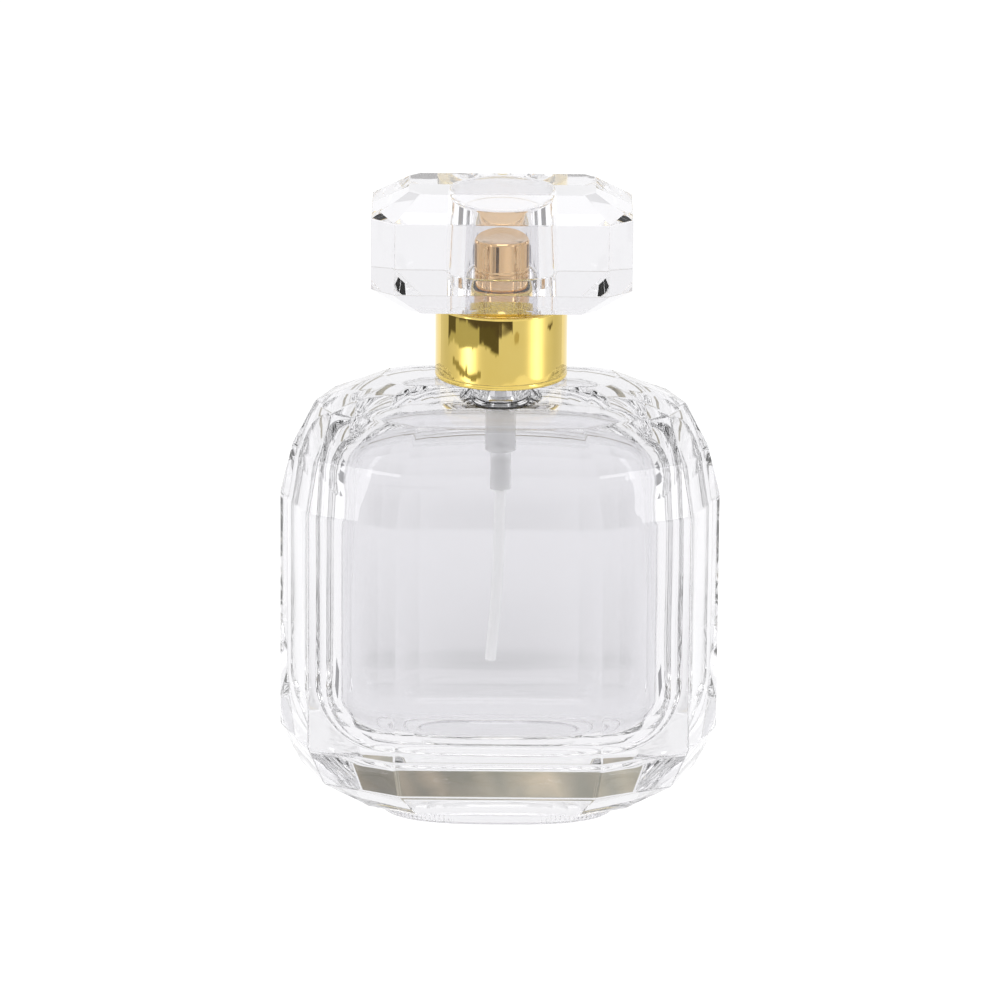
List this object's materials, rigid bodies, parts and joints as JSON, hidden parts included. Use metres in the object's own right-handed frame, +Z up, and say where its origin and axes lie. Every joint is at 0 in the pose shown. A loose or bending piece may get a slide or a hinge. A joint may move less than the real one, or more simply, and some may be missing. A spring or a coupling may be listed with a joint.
{
  "type": "perfume spray bottle",
  "caption": "Faceted clear glass perfume bottle with a crimped spray pump, gold collar and push button, and an oblong clear cap with cut corners.",
  "frame": {"origin": "centre of the rest plane under the base", "axes": "+Z up along the neck's axis, the wide front faces -Y, +X to the right of the front"},
  "size_m": [0.07, 0.0424, 0.1024],
  "materials": {
    "flint_glass": "clear flint glass, fire polished",
    "clear_acrylic": "clear polished acrylic",
    "clear_insert": "clear moulded plastic",
    "gold_anodised": "bright yellow gold anodised",
    "rose_gold_anodised": "bright light gold anodised",
    "bare_aluminium": "bare drawn aluminium",
    "spring_steel": "stainless steel",
    "natural_polypropylene": "translucent natural polypropylene",
    "clear_polyethylene": "translucent polyethylene",
    "white_polypropylene": "white moulded polypropylene",
    "seal_rubber": "matt black rubber"
  },
  "bodies": {
    "bottle": {"glass_bottle": "flint_glass", "neck_gasket": "seal_rubber", "crimp_ferrule": "bare_aluminium", "pump_housing": "natural_polypropylene", "pump_turret": "white_polypropylene", "stem_seal": "seal_rubber", "check_ball": "spring_steel", "return_spring": "spring_steel", "dip_tube": "clear_polyethylene"},
    "collar": {"collar": "gold_anodised", "collar_liner": "white_polypropylene"},
    "cap": {"cap_block": "clear_acrylic", "cap_insert": "clear_insert"},
    "stem": {"pump_stem": "white_polypropylene", "piston": "white_polypropylene"},
    "actuator": {"actuator_shell": "rose_gold_anodised", "actuator_core": "white_polypropylene", "nozzle_insert": "white_polypropylene"}
  },
  "joints": [
    {"name": "collar_turn", "type": "hinge", "parent": "bottle", "child": "collar", "pos_m": [0, 0, 0.0715], "axis": [0, 0, 1], "continuous": true},
    {"name": "cap_lift", "type": "slide", "parent": "collar", "child": "cap", "axis": [0, 0, 1], "range_m": [0, 0.03]},
    {"name": "actuator_press", "type": "slide", "parent": "bottle", "child": "stem", "axis": [0, 0, -1], "range_m": [0, 0.004], "stiffness_N_per_m": 1500, "springref_m": -0.003, "deforming": ["return_spring"]},
    {"name": "actuator_turn", "type": "hinge", "parent": "stem", "child": "actuator", "pos_m": [0, 0, 0.0838], "axis": [0, 0, 1], "continuous": true}
  ]
}
